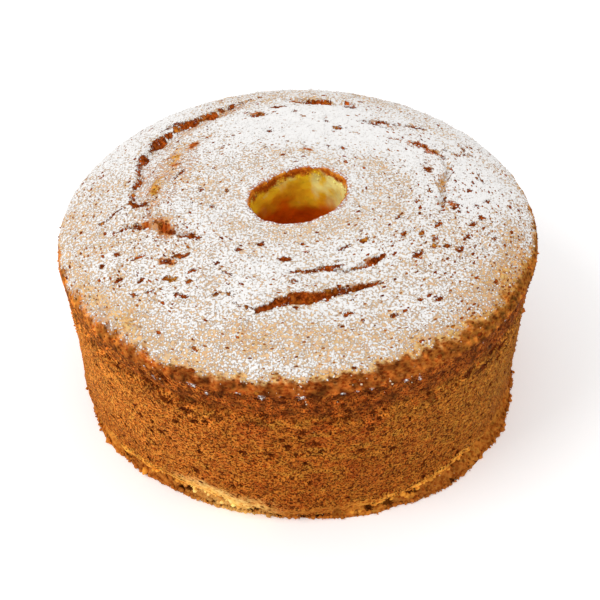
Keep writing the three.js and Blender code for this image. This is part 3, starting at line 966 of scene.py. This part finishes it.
class Tree:
    """A new material's node tree, with short ways to add its nodes."""

    def __init__(self, name):
        self.material = bpy.data.materials.new(name)
        self.material.use_nodes = True
        self.nodes = self.material.node_tree.nodes
        self.links = self.material.node_tree.links
        self.shader = self.nodes["Principled BSDF"]
        scaled = self.add("ShaderNodeVectorMath", operation="SCALE",
                          inputs={0: self.add("ShaderNodeTexCoord").outputs["Object"], "Scale": 1 / MM})
        self.place = scaled.outputs[0]

    def add(self, kind, inputs=None, **settings):
        """A new node. A socket, a Number or a constant goes into each input."""
        made = self.nodes.new(kind)
        for key, value in settings.items():
            setattr(made, key, value)
        for key, value in (inputs or {}).items():
            value = value.socket if isinstance(value, Number) else value
            if isinstance(value, bpy.types.NodeSocket):
                self.links.new(value, made.inputs[key])
            else:
                made.inputs[key].default_value = value
        return made

    def math(self, operation, a, b):
        made = self.add("ShaderNodeMath", {0: a, 1: b}, operation=operation)
        return Number(self, made.outputs[0])

    def band(self, value, low, high):
        """0 below low and 1 above high, with a smooth step between."""
        made = self.add("ShaderNodeMapRange", {"Value": value, "From Min": low, "From Max": high},
                        interpolation_type="SMOOTHSTEP")
        return Number(self, made.outputs["Result"])

    def mixed(self, share, a, b, blend="MIX"):
        inputs = {"Factor": share, 6: a, 7: b}
        return self.add("ShaderNodeMix", inputs, data_type="RGBA", blend_type=blend).outputs[2]

    def times(self, a, b):
        """One colour multiplied by another."""
        return self.mixed(1.0, a, b, "MULTIPLY")

    def noise(self, vector, size, detail=2.0, roughness=0.5):
        inputs = {"Vector": vector, "Scale": 1 / size, "Detail": detail, "Roughness": roughness}
        return Number(self, self.add("ShaderNodeTexNoise", inputs).outputs["Fac"])

    def cells(self, vector, size):
        """Cells of that size: the distance to each one's middle, and three random numbers."""
        made = self.add("ShaderNodeTexVoronoi", {"Vector": vector, "Scale": 1 / size})
        numbers = self.add("ShaderNodeSeparateColor", {0: made.outputs["Color"]}).outputs
        return Number(self, made.outputs["Distance"]), *(Number(self, number) for number in numbers)

    def attribute(self, name, output="Fac"):
        made = self.add("ShaderNodeAttribute", attribute_name=name).outputs[output]
        return Number(self, made) if output == "Fac" else made

    def finish(self, colour, height, depth, roughness, specular):
        bump = self.add("ShaderNodeBump", {"Strength": 1.0, "Distance": depth * MM, "Height": height})
        self.links.new(colour, self.shader.inputs["Base Color"])
        self.links.new(bump.outputs[0], self.shader.inputs["Normal"])
        self.shader.inputs["Roughness"].default_value = roughness
        self.shader.inputs["Specular IOR Level"].default_value = specular
        return self.material


def grey(value):
    return (value, value, value, 1)


def colour_of(name):
    return (*light(name), 1)


def bare_crust(tree, grain, open_crumb):
    """Colour and height of the crust: light grains, dark gaps and broad blotches."""
    fine = tree.noise(grain, 0.95, 4.0, 0.65) * 0.7 + tree.cells(grain, 1.5)[0] * 0.32
    strong = tree.mixed(tree.band(fine, 0.3, 0.66), (0.52, 0.26, 0.07, 1), (1.26, 1.56, 2.2, 1))
    crust = tree.times(tree.attribute("crust", "Color"), tree.mixed(open_crumb, grey(1), strong))
    hue = tree.band(tree.noise(tree.place, 2.2), 0.35, 0.65)
    hues = tree.mixed(hue, (1.08, 0.95, 0.85, 1), (0.98, 1.03, 0.95, 1))
    crust = tree.mixed(open_crumb, crust, tree.times(crust, hues))
    broad = tree.band(tree.noise(tree.place, 7.0), 0.3, 0.7)
    return tree.times(crust, tree.mixed(broad, grey(0.88), grey(1.12))), fine


def mark_tint(tree):
    """Light and dark patches inside the cracks and pits."""
    patchy = tree.band(tree.noise(tree.place, 1.4), 0.36, 0.64)
    patches = tree.mixed(patchy, (0.6, 0.5, 0.4, 1), (1.6, 1.7, 1.7, 1))
    return tree.times(tree.attribute("mark", "Color"), patches)


def crust_material():
    """Browned sponge with fine pores, pits and marks, the pores and pits painted dark as shade in them,
    and the dusting of sugar where it lies.
    """
    tree = Tree("crust")
    grain = tree.attribute("grain", "Vector")
    open_crumb = tree.attribute("pores")
    more_pits = tree.attribute("pits")
    crust, fine = bare_crust(tree, grain, open_crumb)

    away, chosen, size, chosen_tiny = tree.cells(grain, 1.9)
    pore = tree.band(size * 0.2 + 0.14 - away, -0.06, 0.06)
    tiny = pore * tree.band(chosen_tiny + more_pits, 1.14, 1.16)
    pore = pore * tree.band(chosen, 0.5, 0.56) * open_crumb
    # The pores are painted near-black: painted shade in them.
    crust = tree.mixed(pore * 0.85, crust, colour_of("pit"))

    edge = (tree.noise(tree.place, 0.8, 3.0, 0.6) - 0.5) * 2.6
    in_mark = tree.band(tree.attribute("inside") + edge, -0.15, 0.15)
    shift = tree.add("ShaderNodeTexNoise", {"Vector": grain, "Scale": 1.1, "Detail": 1.0})
    moved = tree.add("ShaderNodeVectorMath", {0: grain, 1: shift.outputs["Color"]}, operation="ADD")
    away, chosen, size, _ = tree.cells(moved.outputs[0], 3.4)
    inside_pit = tree.math("POWER", size, 2.0) * 0.2 + 0.1 - away
    small = tree.band(inside_pit, -0.03, 0.03) * tree.band(chosen + more_pits, 0.98, 1.0)
    marked = tree.math("MAXIMUM", in_mark, small)
    small = tree.math("MAXIMUM", small, tiny)
    crust = tree.mixed(tiny, crust, colour_of("small_pit"))
    crust = tree.mixed(marked, crust, mark_tint(tree))

    inputs = {"Factor": in_mark, 2: tree.attribute("sugar"), 3: tree.attribute("fallen")}
    cover = Number(tree, tree.add("ShaderNodeMix", inputs).outputs[0])
    cover = cover * (1.0 - small * 0.9) - pore * 0.12
    powder = tree.noise(tree.place, 1.2, 4.0, 0.7) * 0.75 + (0.62 - tree.cells(tree.place, 1.1)[0]) * 0.36
    lying = tree.band(powder + (cover - 0.5) * 0.42, 0.33, 0.49) * tree.band(cover, 0.02, 0.2)
    film = cover * 0.42 * (1.0 - marked) * (1.0 - tiny * 0.7) * tree.band(cover, 0.15, 0.4)
    colour = tree.mixed(tree.math("MAXIMUM", lying, film), crust, colour_of("sugar"))
    height = fine * (open_crumb * 1.1 + 0.2) + lying * 0.7 - pore * 0.9 - marked * 1.2
    return tree.finish(colour, height, depth=0.45, roughness=0.85, specular=0.03)


def lump_material(name, roughness, speckle):
    tree = Tree(name)
    fine = tree.noise(tree.place, 0.5)
    shade = tree.mixed(fine, grey(1 - speckle), grey(1 + speckle))
    colour = tree.times(tree.attribute("crust", "Color"), shade)
    return tree.finish(colour, fine, depth=0.1, roughness=roughness, specular=0.1)


# ---- The pieces

surface, fields = dressed_cake()
cake = make_mesh("cake_crumb_and_crust", surface.points, surface.faces, fields, crust_material())
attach(cake, "root")
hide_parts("cake")

LUMP_SEED = 7
random = np.random.default_rng(LUMP_SEED)
LOOSE = 0.35


def scattered(weight, count, small, large, evenness):
    """Random points of the surface, drawn by weight and area, with a size for each."""
    chance = weight * surface.area
    picked = random.choice(len(chance), size=count, p=chance / chance.sum())
    sizes = mix(small, large, random.uniform(0, 1, count) ** evenness)
    loose = random.normal(0, LOOSE, size=(count, 3))
    normals = surface.normals[picked]
    loose -= normals * np.sum(loose * normals, axis=1)[:, None]
    places = surface.points[picked] + loose + normals * (sizes * LUMP_SINK)[:, None]
    places[:, 2] = np.maximum(places[:, 2], sizes)
    return picked, places, sizes


SUGAR_LUMPS = 9000
BORDER_SUGAR_LUMPS = 60
FOOT_SUGAR_LUMPS = 110


def sugar_lumps():
    """Clumps of sugar on the crown, and specks that fell below its border and to the foot."""
    crown, wall = surface.region == CROWN, surface.region == WALL
    lying = crown * fields["sugar"] ** 1.6 * np.where(fields["inside"] > 0, 0.2, 1)
    border = ramp(77, 92, surface.height) * (0.15 + stretch(surface.angle, -88, 55))
    border *= (wall | crown) * (fields["sugar"] < 0.25)
    border *= 0.2 + ramp(0, 0.7, clouds(surface.points, 5, 81))
    foot = 0.1 + stretch(surface.angle, -84, 22) + stretch(surface.angle, -50, 14)
    sets = [
        scattered(lying, SUGAR_LUMPS, 0.2, 0.6, 2.5),
        scattered(border, BORDER_SUGAR_LUMPS, 0.15, 0.55, 2),
        scattered(wall * (surface.height < 4) * foot, FOOT_SUGAR_LUMPS, 0.15, 0.4, 2),
    ]
    _, places, sizes = (np.concatenate(parts) for parts in zip(*sets))
    colours = plain("sugar", len(places))
    colours[SUGAR_LUMPS:] = light("fallen_sugar")
    return lumps("sugar_lumps", places, sizes, colours, lump_material("sugar", 0.9, 0.06))


# Larger crumbs that show one by one, by colour and in the order of the mesh: angle, height and size.
LARGE_CRUMBS = [
    ("torn_gold", [(-57, 7.6, 1.3), (-53.5, 7, 1.1), (-50, 8.6, 1.2), (-45, 9.4, 1.1), (-66, 4.4, 1.3),
        (-70.5, 3.6, 1.1), (-58.5, 4.4, 1.4), (-41, 9, 0.9)]),
    ("torn_pale", [(-113, 10.6, 1.1), (-117, 9, 1.2), (-109.5, 7.5, 1)]),
    ("torn_gold", [(-105, 8.4, 1.1), (-133.6, 2.9, 1.7), (-76.5, 1.6, 1.5), (-74.5, 1.3, 1.2),
        (-61.5, 2.5, 2), (-60, 1.6, 1.7), (-62.8, 5, 1.6), (-48.5, 6, 1)]),
    ("wall", [(-8, 76, 1.2), (-10, 70, 1), (-13, 56, 1.5), (-9, 24, 1.3), (-12, 5, 1.3)]),
    # Crumbs on the left side of the wall take its lighter colour, which is painted light.
    ("wall_painted_light", [(-158, 6, 1.4)]),
    ("shoulder", [(-172, 84, 1.2)]),
    ("wall_painted_light", [(-168, 70, 1), (-171, 52, 1)]),
]

WALL_CRUMBS = 4600
TORN_CRUMBS = 1800
RIM_CRUMBS = 500


def crumbs():
    """Grains of crust on the wall, torn crumb at the base and crumbs at the rim of the hole."""
    above_foot = torn_base(surface.angle)[0] + LIP_ROUND - surface.height
    wall = surface.region == WALL
    torn = wall * ramp(-1.5, 1, above_foot) * (0.3 + stretch(surface.angle, -116, 40))
    grains = wall * (above_foot < -2) * (0.5 + ramp(60, 80, surface.height))
    hole_rim = (surface.region == HOLE) * ramp(97, 101, surface.height)
    hole_rim *= surface.normals[:, 2] < 0.3
    sets = [
        scattered(grains, WALL_CRUMBS, 0.18, 0.55, 2.5),
        scattered(torn, TORN_CRUMBS, 0.3, 1.3, 2.5),
        scattered(hole_rim, RIM_CRUMBS, 0.2, 0.6, 2),
    ]
    picked, places, sizes = (np.concatenate(parts) for parts in zip(*sets))
    colours = fields["crust"][picked] * random.uniform(0.75, 1.35, len(picked))[:, None]
    at, height, size = np.concatenate([listed for _, listed in LARGE_CRUMBS]).T
    large = placed(wall_radius(height, at * DEGREE) - size * LUMP_SINK, at * DEGREE, height)
    places, sizes = np.concatenate([places, large]), np.concatenate([sizes, size])
    large_colours = [plain(name, len(listed)) for name, listed in LARGE_CRUMBS]
    colours = np.concatenate([np.clip(colours, 0, 1), *large_colours])
    return lumps("crumbs", places, sizes, colours, lump_material("crumbs", 0.85, 0.25))


for piece, slot in ((sugar_lumps(), "sugar"), (crumbs(), "crust")):
    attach(piece, "root")

# ---- Floor, light and camera

FLOOR_HALF = 3.0
FLOOR_GLOW = 0.2
WORLD_STRENGTH = 0.86
KEY_PLACE = (-0.85, -0.5, 1.2)
KEY_AIM = (0, 0, 0.06)
KEY_SIZE = 0.7
KEY_POWER = 8


def make_floor():
    corners = [(x * FLOOR_HALF, y * FLOOR_HALF, 0) for x, y in ((-1, -1), (1, -1), (1, 1), (-1, 1))]
    mesh = bpy.data.meshes.new("floor")
    mesh.from_pydata(corners, [], [(0, 1, 2, 3)])
    material = bpy.data.materials.new("floor")
    material.use_nodes = True
    shader = material.node_tree.nodes["Principled BSDF"]
    shader.inputs["Base Color"].default_value = grey(0.95)
    shader.inputs["Emission Color"].default_value = grey(1)
    shader.inputs["Emission Strength"].default_value = FLOOR_GLOW
    shader.inputs["Roughness"].default_value = 0.9
    mesh.materials.append(material)
    floor = put("floor", mesh)


def make_key_light():
    """A square soft light aimed at the cake."""
    lamp = bpy.data.lights.new("key", "AREA")
    lamp.size = KEY_SIZE
    lamp.energy = KEY_POWER
    holder = put("key", lamp)
    holder.location = KEY_PLACE
    aim = Vector(KEY_AIM) - Vector(KEY_PLACE)
    holder.rotation_euler = aim.to_track_quat("-Z", "Y").to_euler()


def make_world():
    world = bpy.data.worlds.new("studio")
    world.use_nodes = True
    background = world.node_tree.nodes["Background"]
    background.inputs["Color"].default_value = grey(1)
    background.inputs["Strength"].default_value = WORLD_STRENGTH
    bpy.context.scene.world = world


CAMERA_PLACE = (0, -546.9, 521.0)
CAMERA_PITCH = 41.21
CAMERA_YAW = 0.067
CAMERA_ROLL = -0.17
CAMERA_LENS = 90
SENSOR_WIDTH = 36
NEAREST_SEEN = 50


def make_camera():
    data = bpy.data.cameras.new("camera")
    data.lens = CAMERA_LENS
    data.sensor_width = SENSOR_WIDTH
    data.clip_start = NEAREST_SEEN * MM
    stand = Matrix.Translation(Vector(CAMERA_PLACE) * MM)
    for turn, axis in ((-CAMERA_YAW, "Z"), (90 - CAMERA_PITCH, "X"), (CAMERA_ROLL, "Z")):
        stand = stand @ Matrix.Rotation(turn * DEGREE, 4, axis)
    camera = put("camera", data)
    camera.matrix_world = stand
    bpy.context.scene.camera = camera


make_floor()
make_world()
make_key_light()
make_camera()
bpy.context.scene.view_settings.view_transform = "Standard"
